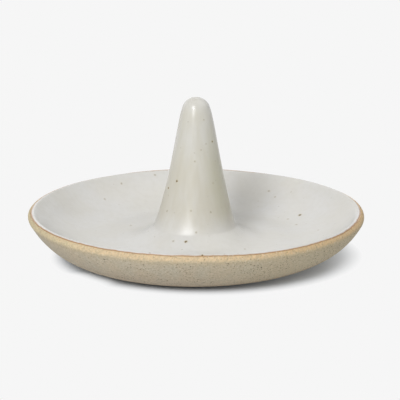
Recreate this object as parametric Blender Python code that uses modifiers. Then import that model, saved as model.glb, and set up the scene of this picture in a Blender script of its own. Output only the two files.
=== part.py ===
"""Ring cone: a round stoneware dish with a tapered cone for finger rings standing at its centre.

The dish and the hollow cone are turned apart and joined, while the clay is leather hard, by a coil of
clay luted into the angle between them. A vent through the floor lets air out of the hollow cone in the
kiln. One coat of glaze covers the cone and the inside of the dish, and ends just past the crest of the
lip. The outside is bare clay and stands on a turned foot ring.

Lengths are in metres and angles in degrees. The origin is on the table under the middle of the dish,
with +Z up. A section point is a pair of radius and height, and every piece is its section turned
about the Z axis.
"""

import math

import bpy
from mathutils import Vector

# Dish
RIM_RADIUS = 0.060
RIM_HEIGHT = 0.017
LIP_RADIUS = 0.0018
FLOOR_RADIUS = 0.0346
FLOOR_HEIGHT = 0.006
BELLY_RADIUS = 0.036
BELLY_HEIGHT = 0.0003
FOOT_RADIUS = 0.038
FOOT_WIDTH = 0.0045
FOOT_EDGE = 0.0003
RECESS_DEPTH = 0.0012
VENT_RADIUS = 0.004
VENT_CHAMFER = 0.0004

# Cone
CONE_HEIGHT = 0.0575
TIP_RADIUS = 0.005
TIP_LEAN = 14.7
FLARE_TOP_RADIUS = 0.0147
FLARE_TOP_HEIGHT = 0.0109
FLARE_SLOPE = 68.0
FLARE_RADIUS = 0.0274
CONE_WALL = 0.0035
HOLLOW_TOP_RADIUS = 0.0025

# How far the cone's side follows the line of the tip and of the flare, as shares of its length
TIP_PULL = 0.36
SIDE_PULL = 0.32

# How far the flare follows the line of the cone's side and of the floor
FLARE_TOP_PULL = 0.0013
FLARE_FLOOR_PULL = 0.0072

# Luting coil
COIL_EDGE = 0.0005

# Glaze
GLAZE_THICKNESS = 0.0004
GLAZE_END = 16.0

# Clearance between neighbouring pieces
FIT_GAP = 0.0003

# Facets
TURN_STEPS = 56
TIP_STEPS = 5
SIDE_STEPS = 7
FLARE_STEPS = 7
WALL_STEPS = 7
LIP_TOP_STEPS = 4
LIP_SIDE_STEPS = 5
BELLY_STEPS = 8
COVE_STEPS = 3
HOLLOW_TOP_STEPS = 4
SHARP_ANGLE = 35.0

# Levels and centres that the pieces share
COAT = GLAZE_THICKNESS + FIT_GAP
SEAT_DEPTH = COIL_EDGE + FIT_GAP
CLAY_FLOOR = FLOOR_HEIGHT - COAT
SEAT_HEIGHT = CLAY_FLOOR - SEAT_DEPTH
LIP_CENTRE = Vector((RIM_RADIUS - LIP_RADIUS, RIM_HEIGHT - LIP_RADIUS))
TIP_CENTRE = Vector((0.0, CONE_HEIGHT - TIP_RADIUS))
FLARE_TOP = Vector((FLARE_TOP_RADIUS, FLARE_TOP_HEIGHT))
FLARE_END = Vector((FLARE_RADIUS, FLOOR_HEIGHT))
DOWN = math.pi


def on_circle(centre, radius, angle):
    """Point of a circle at an angle in radians, turned outwards from straight up."""
    return centre + Vector((math.sin(angle), math.cos(angle))) * radius


def arc(centre, radius, start, end, steps):
    """Points along an arc, both ends included."""
    return [on_circle(centre, radius, start + (end - start) * i / steps) for i in range(steps + 1)]


def bowl_curve(level_radius, level, side):
    """Centre, radius and end slope of the arc that leaves a level tangentially and runs into the lip.

    The side is 1 for the inside of the wall, which has the lip outside its circle, and -1 for the
    underside, whose circle takes the lip in.
    """
    run = LIP_CENTRE.x - level_radius
    rise = LIP_CENTRE.y - level
    radius = (run ** 2 + rise ** 2 - LIP_RADIUS ** 2) / (2 * (rise + side * LIP_RADIUS))
    return Vector((level_radius, level + radius)), radius, math.atan2(run, radius - rise)


def tip(depth):
    """Round tip of the cone, sunk below the glaze surface by a depth."""
    return arc(TIP_CENTRE, TIP_RADIUS - depth, 0, math.radians(90 - TIP_LEAN), TIP_STEPS)


def flare_direction():
    """Unit vector down the cone's side where the flare begins."""
    slope = math.radians(FLARE_SLOPE)
    return Vector((math.cos(slope), -math.sin(slope)))


def outward(direction):
    """Unit vector square to a direction that runs down a piece's outer side, pointing away from it."""
    return Vector((-direction.y, direction.x)).normalized()


def sunk_curve(top, top_handle, bottom_handle, bottom, depth, start, steps):
    """Points along a curve with a handle at each end, sunk square to it by a depth.

    The start is the share of the curve's run at which the points begin.
    """
    points = []
    for i in range(steps + 1):
        t = start + (1 - start) * i / steps
        s = 1 - t
        along = (top_handle - top) * s * s + (bottom_handle - top_handle) * 2 * s * t
        along += (bottom - bottom_handle) * t * t
        place = top * s ** 3 + top_handle * 3 * s * s * t + bottom_handle * 3 * s * t * t + bottom * t ** 3
        points.append(place - outward(along) * depth)
    return points


def cone_side(depth):
    """Side of the cone from its tip to its flare, sunk below the glaze surface by a depth."""
    lean = math.radians(TIP_LEAN)
    top = on_circle(TIP_CENTRE, TIP_RADIUS, math.radians(90) - lean)
    length = (FLARE_TOP - top).length
    top_handle = top + Vector((math.sin(lean), -math.cos(lean))) * length * TIP_PULL
    bottom_handle = FLARE_TOP - flare_direction() * length * SIDE_PULL
    return sunk_curve(top, top_handle, bottom_handle, FLARE_TOP, depth, 0, SIDE_STEPS)


def flare(depth, start=0.0):
    """Concave flare from the cone's side down to the dish floor, sunk below the glaze surface."""
    top_handle = FLARE_TOP + flare_direction() * FLARE_TOP_PULL
    end_handle = FLARE_END - Vector((FLARE_FLOOR_PULL, 0))
    return sunk_curve(FLARE_TOP, top_handle, end_handle, FLARE_END, depth, start, FLARE_STEPS)


def inner_wall(depth, lip_end):
    """Inside of the dish from the edge of its floor, over the crest, to an angle in radians on the lip."""
    centre, radius, slope = bowl_curve(FLOOR_RADIUS, FLOOR_HEIGHT, 1)
    wall = arc(centre, radius + depth, DOWN, DOWN - slope, WALL_STEPS)
    return wall + arc(LIP_CENTRE, LIP_RADIUS - depth, -slope, lip_end, LIP_TOP_STEPS)[1:]


def lowered_to(point, direction, level):
    """Where the line from a point along a direction reaches a level."""
    return point + direction * (level - point.y) / direction.y


def glazed_surface(depth):
    """Tip, side, flare, floor, wall and crest in one line, sunk below the glaze surface by a depth."""
    above = tip(depth) + cone_side(depth)[1:] + flare(depth)[1:]
    return above + inner_wall(depth, math.radians(GLAZE_END))


def glaze_section():
    """Coat of even thickness from the tip of the cone to the outer edge of the crest."""
    return glazed_surface(0) + glazed_surface(GLAZE_THICKNESS)[::-1]


def foot_section():
    """Foot ring from its outer edge inwards, with the cove that leads into the recess under the floor."""
    cove_centre = Vector((FOOT_RADIUS - FOOT_WIDTH - RECESS_DEPTH, 0))
    return [Vector((FOOT_RADIUS, 0))] + arc(cove_centre, RECESS_DEPTH, math.radians(90), 0, COVE_STEPS)


def dish_section():
    """Dish with the seat for the cone, the vent through its floor, and the ledge where the glaze stops."""
    seat_radius = FLARE_RADIUS + FIT_GAP
    ledge = math.radians(GLAZE_END) + FIT_GAP / (LIP_RADIUS - GLAZE_THICKNESS)
    shoulder_radius = FOOT_RADIUS + FOOT_EDGE
    centre, radius, slope = bowl_curve(BELLY_RADIUS, BELLY_HEIGHT, -1)
    shoulder_slope = math.asin(max(shoulder_radius - BELLY_RADIUS, 0) / radius)
    belly = arc(centre, radius, DOWN - slope, DOWN - shoulder_slope, BELLY_STEPS)
    points = [Vector((VENT_RADIUS, SEAT_HEIGHT))]
    points += [Vector((seat_radius, SEAT_HEIGHT)), Vector((seat_radius, CLAY_FLOOR))]
    points += inner_wall(COAT, ledge)
    points += arc(LIP_CENTRE, LIP_RADIUS, ledge, DOWN - slope, LIP_SIDE_STEPS)
    points += belly[1:-1] + [Vector((shoulder_radius, belly[-1].y))]
    points += foot_section()
    points += [Vector((VENT_RADIUS + VENT_CHAMFER, RECESS_DEPTH))]
    points += [Vector((VENT_RADIUS, RECESS_DEPTH + VENT_CHAMFER))]
    return points


def cone_section():
    """Hollow cone with a solid tip and a rebate round its foot, where the luting coil lies flush."""
    down = flare_direction()
    foot = SEAT_HEIGHT + FIT_GAP
    outside = tip(COAT) + cone_side(COAT)[1:]
    rebate = outside[-1] - outward(down) * SEAT_DEPTH
    inside = cone_side(COAT + CONE_WALL)[::-1]
    soles = [lowered_to(rebate, down, foot), lowered_to(inside[0], down, foot)]
    hollow = [point for point in inside if point.x >= HOLLOW_TOP_RADIUS]
    roof_centre = Vector((0.0, hollow[-1].y))
    roof = arc(roof_centre, hollow[-1].x, math.radians(90), 0, HOLLOW_TOP_STEPS)
    return outside + [rebate] + soles + hollow + roof[1:]


def coil_section():
    """Luting coil between the cone's rebate and the seat in the dish, with a concave outer face."""
    down = flare_direction()
    sole = SEAT_HEIGHT + FIT_GAP
    face = flare(COAT, FIT_GAP / (3 * FLARE_TOP_PULL))
    against_cone = cone_side(COAT)[-1] - outward(down) * COIL_EDGE
    back = [Vector((FLARE_RADIUS, sole)), lowered_to(against_cone, down, sole)]
    return face + back + [against_cone + down * FIT_GAP]


def linear(channel):
    """Linear value of one sRGB channel from 0 to 255."""
    value = channel / 255
    return value / 12.92 if value <= 0.04045 else ((value + 0.055) / 1.055) ** 2.4


def finish(name, colour, roughness):
    """Non-metallic material of one sRGB colour."""
    material = bpy.data.materials.new(name)
    material.use_nodes = True
    shader = material.node_tree.nodes["Principled BSDF"]
    shader.inputs["Base Color"].default_value = (*map(linear, colour), 1.0)
    shader.inputs["Roughness"].default_value = roughness
    shader.inputs["Metallic"].default_value = 0.0
    return material


def turned(name, section, closed, material, collection):
    """Object made by turning a section about the Z axis. An open section starts and ends on the axis."""
    count = len(section)
    edges = [(i, (i + 1) % count) for i in range(count if closed else count - 1)]
    profile = bpy.data.meshes.new(name + "_section")
    profile.from_pydata([(point.x, 0.0, point.y) for point in section], edges, [])
    piece = bpy.data.objects.new(name, profile)
    collection.objects.link(piece)
    screw = piece.modifiers.new("turn", "SCREW")
    screw.axis = "Z"
    screw.angle = math.tau
    screw.steps = TURN_STEPS
    screw.render_steps = TURN_STEPS
    screw.use_merge_vertices = True
    screw.merge_threshold = 0.00001
    bpy.context.view_layer.update()
    evaluated = piece.evaluated_get(bpy.context.evaluated_depsgraph_get())
    piece.data = bpy.data.meshes.new_from_object(evaluated)
    piece.modifiers.clear()
    bpy.data.meshes.remove(profile)
    piece.data.name = name
    piece.data.shade_smooth()
    piece.data.set_sharp_from_angle(angle=math.radians(SHARP_ANGLE))
    piece.data.materials.append(material)
    return piece


def clear_scene():
    """Remove every object of the scene."""
    for thing in list(bpy.data.objects):
        bpy.data.objects.remove(thing, do_unlink=True)


def build():
    """Turn the four pieces and set them together on one parent at the origin."""
    clear_scene()
    collection = bpy.data.collections.new("ring_cone")
    bpy.context.scene.collection.children.link(collection)
    stoneware = finish("bare_stoneware", (196, 176, 147), 0.88)
    cone_clay = finish("cone_stoneware", (190, 170, 142), 0.88)
    slip = finish("luting_slip", (182, 160, 130), 0.92)
    glaze = finish("white_satin_glaze", (222, 221, 216), 0.38)
    pieces = [
        turned("dish", dish_section(), True, stoneware, collection),
        turned("cone", cone_section(), False, cone_clay, collection),
        turned("luting_coil", coil_section(), True, slip, collection),
        turned("glaze_coat", glaze_section(), False, glaze, collection),
    ]
    stand = bpy.data.objects.new("ring_cone_origin", None)
    collection.objects.link(stand)
    for piece in pieces:
        piece.parent = stand


build()
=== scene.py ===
"""Ring cone, dressed: satin white glaze over speckled stoneware, standing on a pale studio floor.

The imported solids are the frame. The clay dish and the glaze coat are turned again at a finer grain, with
the slight unevenness of a hand-thrown pot, and stand for their solids. The hollow clay cone and the luting
coil, which the glaze hides, stay as they are and get their own clay. Lengths are in metres and angles in
degrees. A point of a section is a pair of radius and height. A zone is a pair of places: something is
absent before the first, grows between the two and is full beyond the second.
"""

import logging
import math
from dataclasses import dataclass, field
from enum import Enum
from typing import Any, Callable

import bpy
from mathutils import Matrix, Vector


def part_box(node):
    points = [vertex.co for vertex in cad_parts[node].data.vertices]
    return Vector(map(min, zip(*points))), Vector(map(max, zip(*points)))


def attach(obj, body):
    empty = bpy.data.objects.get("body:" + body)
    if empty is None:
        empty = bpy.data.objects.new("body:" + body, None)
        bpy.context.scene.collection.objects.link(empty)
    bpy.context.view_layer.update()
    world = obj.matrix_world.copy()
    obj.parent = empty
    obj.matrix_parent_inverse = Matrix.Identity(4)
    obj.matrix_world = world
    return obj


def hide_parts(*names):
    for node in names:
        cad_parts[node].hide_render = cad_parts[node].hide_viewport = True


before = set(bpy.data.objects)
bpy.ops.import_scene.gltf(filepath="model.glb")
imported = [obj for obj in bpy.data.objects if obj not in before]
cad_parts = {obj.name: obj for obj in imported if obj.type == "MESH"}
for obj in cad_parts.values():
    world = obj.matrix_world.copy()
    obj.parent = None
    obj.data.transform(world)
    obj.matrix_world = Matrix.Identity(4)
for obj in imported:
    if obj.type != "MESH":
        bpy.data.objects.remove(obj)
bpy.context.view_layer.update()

MM = 0.001
Section = list[Vector]
Zone = tuple[float, float]
log = logging.getLogger("ring_cone")


class Node(Enum):
    """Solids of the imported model."""

    DISH = "dish"
    CONE = "cone"
    COIL = "luting_coil"
    GLAZE = "glaze_coat"


class Slot(Enum):
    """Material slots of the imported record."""

    DISH = "bare_stoneware"
    GLAZE = "white_satin_glaze"


def linear(code: str) -> tuple[float, float, float, float]:
    """Turn an sRGB hex colour into the linear colour that shaders take.

    Args:
        code: Six hex digits, such as "D8C09A".

    Returns:
        Red, green, blue and a full alpha.
    """
    channels = (int(code[i:i + 2], 16) / 255 for i in (0, 2, 4))
    bent = (c / 12.92 if c <= 0.04045 else ((c + 0.055) / 1.055) ** 2.4 for c in channels)
    return (*bent, 1.0)


def ease(value: float, zone: Zone) -> float:
    """Tell how far a value has come through a zone, from 0 to 1, leaving and arriving smoothly."""
    share = min(max((value - zone[0]) / (zone[1] - zone[0]), 0.0), 1.0)
    return share * share * (3 - 2 * share)


def span(zone: Zone) -> dict[str, float]:
    """Name the places of a zone as inputs of a node that maps a range."""
    return {"From Min": zone[0], "From Max": zone[1]}


def add_node(tree: bpy.types.NodeTree, kind: str, inputs: dict[str | int, Any] | None = None,
             **settings: Any) -> bpy.types.Node:
    """Add a node to a tree, with its settings and with its sockets set or linked.

    Args:
        tree: Node tree that takes the node.
        kind: Type name of the node.
        inputs: For each input, by its name or number, a value, an output socket, or a node whose first
            output in use is linked.
        **settings: Properties of the node.

    Returns:
        The new node.
    """
    node = tree.nodes.new(kind)
    for name, value in settings.items():
        setattr(node, name, value)
    for key, value in (inputs or {}).items():
        if isinstance(value, bpy.types.Node):
            value = next(socket for socket in value.outputs if socket.enabled)
        if isinstance(value, bpy.types.NodeSocket):
            tree.links.new(value, node.inputs[key])
        else:
            node.inputs[key].default_value = value
    return node


def seen_plainly(tree: bpy.types.NodeTree) -> bpy.types.Node:
    """Tell the rays of the camera and of reflections from those that light the pot.

    Args:
        tree: Node tree of a material or of the world.

    Returns:
        Node whose value is 1 for a ray from the camera, off a gloss or through glass, and 0 for others.
    """
    rays = add_node(tree, "ShaderNodeLightPath").outputs
    seen = add_node(tree, "ShaderNodeMath", {
        0: rays["Is Camera Ray"], 1: rays["Is Glossy Ray"]}, operation="MAXIMUM")
    return add_node(tree, "ShaderNodeMath", {0: seen, 1: rays["Is Transmission Ray"]}, operation="MAXIMUM")


@dataclass(frozen=True)
class FormLine:
    """The one line that the glaze follows, from the tip of the cone to the lip of the dish."""

    rim_radius: float
    cone_height: float
    flare_radius: float
    rim_height: float = 17.0 * MM
    lip_radius: float = 1.8 * MM
    floor_radius: float = 34.6 * MM
    floor_height: float = 6.0 * MM
    tip_radius: float = 5.08 * MM
    tip_lean: float = 17.0
    tip_run: float = 1.7 * MM
    tip_pull: float = 4.7 * MM
    side_pull: float = 0.24
    flare_top: tuple[float, float] = (14.7 * MM, 11.1 * MM)
    flare_slope: float = 67.0
    flare_top_pull: float = 1.3 * MM
    flare_floor_pull: float = 7.2 * MM

    @classmethod
    def from_frame(cls) -> "FormLine":
        """Take the rim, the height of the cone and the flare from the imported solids.

        Returns:
            The form line.
        """
        return cls(
            rim_radius=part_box(Node.DISH.value)[1].x,
            cone_height=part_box(Node.GLAZE.value)[1].z,
            flare_radius=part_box(Node.COIL.value)[1].x,
        )

    @property
    def lip_centre(self) -> Vector:
        """Centre of the lip's round."""
        return Vector((self.rim_radius - self.lip_radius, self.rim_height - self.lip_radius))

    @property
    def tip_centre(self) -> Vector:
        """Centre of the tip's round."""
        return Vector((0.0, self.cone_height - self.tip_radius))

    @property
    def down_the_side(self) -> Vector:
        """Unit vector down the side of the cone where the flare begins."""
        return self.on_circle(Vector((0.0, 0.0)), 1.0, 90 + self.flare_slope)

    @property
    def wall_slope(self) -> float:
        """Slope of the inside of the wall where it meets the lip."""
        return self.bowl_curve(self.floor_radius, self.floor_height, 1)[2]

    @staticmethod
    def on_circle(centre: Vector, radius: float, angle: float) -> Vector:
        """Point of a circle at an angle turned outwards from straight up."""
        turn = math.radians(angle)
        return centre + Vector((math.sin(turn), math.cos(turn))) * radius

    def arc(self, centre: Vector, radius: float, start: float, end: float, steps: int) -> Section:
        """Draw an arc.

        Args:
            centre: Centre of the arc.
            radius: Radius of the arc.
            start: Angle of its first point, turned outwards from straight up.
            end: Angle of its last point.
            steps: Number of chords.

        Returns:
            Points from start to end, both included.
        """
        span = (end - start) / steps
        return [self.on_circle(centre, radius, start + span * i) for i in range(steps + 1)]

    def bowl_curve(self, level_radius: float, level: float, side: int) -> tuple[Vector, float, float]:
        """Find the arc that leaves a level smoothly and runs into the lip.

        Args:
            level_radius: Radius at which the arc leaves the level.
            level: Height of the level.
            side: 1 for the inside of the wall, -1 for the underside.

        Returns:
            Centre, radius and the slope at the lip.
        """
        run = self.lip_centre.x - level_radius
        rise = self.lip_centre.y - level
        radius = (run ** 2 + rise ** 2 - self.lip_radius ** 2) / (2 * (rise + side * self.lip_radius))
        return Vector((level_radius, level + radius)), radius, math.degrees(math.atan2(run, radius - rise))

    def tip(self, depth: float, steps: int) -> Section:
        """Round tip, from the axis to the side of the cone, at a depth below the glaze's face."""
        return self.arc(self.tip_centre, self.tip_radius - depth, 0, 90 - self.tip_lean, steps)

    @staticmethod
    def sunk_curve(corners: Section, depth: float, steps: int) -> Section:
        """Draw a curve with a handle at each end, sunk square to itself.

        Args:
            corners: Start, its handle, the end's handle and the end.
            depth: How far the line lies below the curve.
            steps: Number of chords.

        Returns:
            Points from start to end, both included.
        """
        start, start_handle, end_handle, end = corners
        points = []
        for i in range(steps + 1):
            t = i / steps
            s = 1 - t
            place = start * s ** 3 + start_handle * 3 * s * s * t + end_handle * 3 * s * t * t + end * t ** 3
            along = (start_handle - start) * s * s + (end_handle - start_handle) * 2 * s * t
            along += (end - end_handle) * t * t
            points.append(place - Vector((-along.y, along.x)).normalized() * depth)
        return points

    def cone_side(self, depth: float, steps: int) -> Section:
        """Draw the side of the cone from its tip to its flare.

        Args:
            depth: How far the line lies below the glaze's face.
            steps: Number of chords.

        Returns:
            Points from the tip down, both ends included.
        """
        shoulder = self.on_circle(self.tip_centre, self.tip_radius, 90 - self.tip_lean)
        top = self.on_circle(shoulder, self.tip_run, 180 - self.tip_lean)
        after_top = self.on_circle(top, self.tip_pull, 180 - self.tip_lean)
        foot = Vector(self.flare_top)
        before_foot = foot - self.down_the_side * (foot - top).length * self.side_pull
        return self.sunk_curve([top, after_top, before_foot, foot], depth, steps)

    def flare(self, depth: float, steps: int) -> Section:
        """Draw the hollow curve from the side of the cone to the floor.

        Args:
            depth: How far the line lies below the glaze's face.
            steps: Number of chords.

        Returns:
            Points from the cone outwards, both ends included.
        """
        top = Vector(self.flare_top)
        floor = Vector((self.flare_radius, self.floor_height))
        after_top = top + self.down_the_side * self.flare_top_pull
        before_floor = floor - Vector((self.flare_floor_pull, 0.0))
        return self.sunk_curve([top, after_top, before_floor, floor], depth, steps)

    def floor_run(self, depth: float, steps: int) -> Section:
        """Level floor from the flare to the wall, at a depth below the glaze's face."""
        inner, outer, height = self.flare_radius, self.floor_radius, self.floor_height - depth
        return [Vector((inner + (outer - inner) * i / steps, height)) for i in range(steps + 1)]

    def wall(self, depth: float, steps: int) -> Section:
        """Inside of the wall from the floor to the lip, at a depth below the glaze's face."""
        centre, radius, slope = self.bowl_curve(self.floor_radius, self.floor_height, 1)
        return self.arc(centre, radius + depth, 180, 180 - slope, steps)

    def lip(self, depth: float, end: float, steps: int) -> Section:
        """Lip from the wall over its crest to an angle, at a depth below the glaze's face."""
        return self.arc(self.lip_centre, self.lip_radius - depth, -self.wall_slope, end, steps)


@dataclass(frozen=True)
class Wheel:
    """Draws a section point by point and spins it once round the axis."""

    facets: int = 192
    soft_edge: float = 40.0

    def draw(self, section: Section) -> None:
        """Gather a small plane into one point and pull it along a section, edge by edge.

        Args:
            section: Points of the line.
        """
        bpy.ops.mesh.select_all(action="SELECT")
        bpy.ops.mesh.merge(type="CENTER")
        for start, end in zip(section, section[1:]):
            step = (end.x - start.x, 0.0, end.y - start.y)
            bpy.ops.mesh.extrude_vertices_move(TRANSFORM_OT_translate={"value": step})

    def turn(self, name: str, section: Section) -> bpy.types.Object:
        """Turn a section into a closed mesh whose object sits at the origin.

        Args:
            name: Name of the piece.
            section: Points of a loop that ends where it began, or from the axis round to the axis.

        Returns:
            The new piece.
        """
        bpy.ops.object.select_all(action="DESELECT")
        bpy.ops.mesh.primitive_plane_add(size=MM, location=(section[0].x, 0.0, section[0].y))
        piece = bpy.context.object
        piece.name = piece.data.name = name
        bpy.ops.object.transform_apply(location=True, rotation=False, scale=False)
        bpy.ops.object.mode_set(mode="EDIT")
        self.draw(section)
        bpy.ops.mesh.select_all(action="SELECT")
        bpy.ops.mesh.spin(steps=self.facets, angle=math.tau, center=(0, 0, 0), axis=(0, 0, 1))
        bpy.ops.mesh.select_all(action="SELECT")
        bpy.ops.mesh.remove_doubles(threshold=0.001 * MM)
        bpy.ops.mesh.normals_make_consistent(inside=False)
        bpy.ops.object.mode_set(mode="OBJECT")
        bpy.ops.object.shade_smooth_by_angle(angle=math.radians(self.soft_edge))
        return piece


@dataclass(frozen=True)
class ThrownUnevenness:
    """What hands leave in clay, alike in every piece at one place.

    All the clay swings slightly, the rim has sagged on the right and the belly is dented on the left. The
    cone has set with its foot to the left and its tip to the right, and the coil is fullest in front.
    """

    swing: float = 0.24 * MM
    breadth: float = 36.0 * MM
    loose_heights: Zone = (1.5 * MM, 9.0 * MM)
    sag: float = 0.35 * MM
    sag_rightwards: Zone = (2 * MM, 24 * MM)
    sag_outwards: Zone = (26 * MM, 46 * MM)
    dent: float = 0.35 * MM
    dent_leftwards: Zone = (-25 * MM, -45 * MM)
    dent_downwards: Zone = (16.5 * MM, 13.5 * MM)
    foot_shift: float = 0.3 * MM
    foot_inwards: Zone = (22 * MM, 16 * MM)
    foot_upwards: Zone = (7 * MM, 9 * MM)
    foot_downwards: Zone = (22 * MM, 12 * MM)
    tip_shift: float = 0.15 * MM
    tip_upwards: Zone = (22 * MM, 30 * MM)
    coil_push: float = 0.35 * MM
    coil_place: tuple[float, float] = (17.0 * MM, 9.7 * MM)
    coil_inwards: Zone = (5.0 * MM, 0.0)
    coil_azimuth: float = -8.0

    def loose(self, place: Vector) -> float:
        """Share of the swing at a place. There is none at the foot, which stands flat."""
        return ease(place.z, self.loose_heights)

    def set_foot(self, place: Vector) -> float:
        """Share of the cone's sideways set at a place, all of it low on the cone."""
        on_cone = ease(place.xy.length, self.foot_inwards) * ease(place.z, self.foot_upwards)
        return on_cone * ease(place.z, self.foot_downwards)

    def lean_tip(self, place: Vector) -> float:
        """Share of the cone's lean to the other side at a place, all of it above its lower half."""
        return ease(place.z, self.tip_upwards)

    def sag_rim(self, place: Vector) -> float:
        """Share of the rim's sag at a place, all of it on the right and away from cone and foot."""
        outwards = ease(place.xy.length, self.sag_outwards)
        return ease(place.x, self.sag_rightwards) * outwards * self.loose(place)

    def dent_belly(self, place: Vector) -> float:
        """Share of the belly's dent at a place, all of it on the left, where a hand lifted the pot."""
        below_lip = ease(place.z, self.dent_downwards)
        return ease(place.x, self.dent_leftwards) * below_lip * self.loose(place)

    def full_coil(self, place: Vector) -> float:
        """Tell how full the coil is at a place, all of it at the turn of the flare in front.

        Args:
            place: Point of a piece.

        Returns:
            Share of the fullness.
        """
        off = Vector((place.xy.length, place.z)) - Vector(self.coil_place)
        turned = math.atan2(place.x, -place.y) - math.radians(self.coil_azimuth)
        return ease(off.length, self.coil_inwards) * ease(math.cos(turned), (0.0, 1.0))

    def push(self, piece: bpy.types.Object, share: Callable[[Vector], float], direction: str,
             strength: float, texture: bpy.types.Texture | None = None) -> None:
        """Displace the points of a piece, each by its share, and make the change part of its mesh.

        Args:
            piece: Piece to change.
            share: Share of the strength at a place.
            direction: Direction of the modifier.
            strength: Distance, or the swing of the texture's values.
            texture: Texture that drives the distance, if any.
        """
        group = piece.vertex_groups.new(name="share")
        for vertex in piece.data.vertices:
            group.add([vertex.index], share(vertex.co), "REPLACE")
        push = piece.modifiers.new("push", "DISPLACE")
        push.texture = texture
        push.texture_coords = "LOCAL"
        push.direction = direction
        push.strength = strength
        push.mid_level = 0.5 if texture else 0.0
        push.vertex_group = group.name
        bpy.context.view_layer.objects.active = piece
        bpy.ops.object.modifier_apply(modifier=push.name)
        piece.vertex_groups.clear()

    def apply(self, piece: bpy.types.Object) -> None:
        """Fill the coil, sag the rim, dent the belly, set the cone and let the piece swing by a cloud.

        Args:
            piece: Piece to change.
        """
        for share, direction, strength in (
                (self.full_coil, "Y", -self.coil_push),
                (self.full_coil, "Z", self.coil_push),
                (self.sag_rim, "Z", -self.sag),
                (self.dent_belly, "X", self.dent),
                (self.set_foot, "X", -self.foot_shift),
                (self.lean_tip, "X", self.tip_shift)):
            self.push(piece, share, direction, strength)
        cloud = bpy.data.textures.new("thrown_cloud", "CLOUDS")
        cloud.cloud_type = "COLOR"
        cloud.noise_scale = self.breadth
        cloud.noise_depth = 1
        self.push(piece, self.loose, "RGB_TO_XYZ", self.swing, cloud)


class Finish:
    """A finish, which builds its own material."""

    name = "finish"

    def shade(self, tree: bpy.types.NodeTree, shader: bpy.types.Node) -> None:
        """Set and link the sockets of a material's main shader.

        Args:
            tree: Node tree of the material.
            shader: Its Principled BSDF.
        """
        raise NotImplementedError

    def dress(self, piece: bpy.types.Object) -> None:
        """Put this finish in every material slot of a piece, or in a first one.

        Args:
            piece: New piece or solid of the frame.
        """
        made = bpy.data.materials.new(self.name)
        made.use_nodes = True
        self.shade(made.node_tree, made.node_tree.nodes["Principled BSDF"])
        if not piece.material_slots:
            piece.data.materials.append(made)
        for slot in piece.material_slots:
            slot.material = made


@dataclass(frozen=True)
class WipedEdge:
    """The line on the lip up to which a sponge has wiped the glaze: burnt orange, then bare.

    The glaze and the clay beside it share it, so that it runs on from one to the other. Lengths are
    radii, counted from the centre that the hand kept.
    """

    centre: tuple[float, float] = (0.12 * MM, -0.3 * MM)
    ragged: float = 0.5 * MM
    ragged_breadth: float = 3 * MM
    deeper_behind: float = 0.65 * MM
    behind: Zone = (44 * MM, 56 * MM)
    deeper_right: float = 0.4 * MM
    right: Zone = (50 * MM, 57 * MM)
    burnt: Zone = (58.55 * MM, 59.0 * MM)
    bare: Zone = (59.1 * MM, 59.4 * MM)

    def radius(self, tree: bpy.types.NodeTree, place: bpy.types.NodeSocket) -> bpy.types.Node:
        """Measure the radius as the hand kept it: off centre, ragged, and deeper at the back and right.

        Args:
            tree: Node tree of the material.
            place: Object coordinates.

        Returns:
            Node whose value is the radius.
        """
        flat = add_node(tree, "ShaderNodeVectorMath", {0: place, 1: (1, 1, 0)}, operation="MULTIPLY")
        radius = add_node(tree, "ShaderNodeVectorMath", {
            0: flat, 1: (*self.centre, 0)}, operation="DISTANCE").outputs["Value"]
        ragged = add_node(tree, "ShaderNodeTexNoise", {
            "Vector": place, "Scale": 1 / self.ragged_breadth, "Detail": 3.0})
        radius = add_node(tree, "ShaderNodeMath", {
            0: ragged, 1: self.ragged, 2: radius}, operation="MULTIPLY_ADD")
        sides = add_node(tree, "ShaderNodeSeparateXYZ", {"Vector": place}).outputs
        for side, zone, depth in (("Y", self.behind, self.deeper_behind),
                                  ("X", self.right, self.deeper_right)):
            deeper = add_node(tree, "ShaderNodeMapRange", {
                "Value": sides[side], **span(zone), "To Max": depth}, interpolation_type="SMOOTHSTEP")
            radius = add_node(tree, "ShaderNodeMath", {0: radius, 1: deeper}, operation="ADD")
        return radius

    def beyond(self, tree: bpy.types.NodeTree, place: bpy.types.NodeSocket,
               *zones: Zone) -> list[bpy.types.Node]:
        """Tell where the lip lies beyond some of its zones.

        Args:
            tree: Node tree of the material.
            place: Object coordinates.
            *zones: Radii between which the burnt line or the bare clay begins.

        Returns:
            For each zone, a node whose value goes from 0 to 1 through it.
        """
        radius = self.radius(tree, place)
        return [add_node(tree, "ShaderNodeMapRange", {
            "Value": radius, **span(zone)}, interpolation_type="SMOOTHSTEP") for zone in zones]


@dataclass(frozen=True)
class IronSpot:
    """Grain of iron that has bled through the glaze, with its place and radius in millimetres."""

    x: float
    y: float
    z: float
    radius: float


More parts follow.
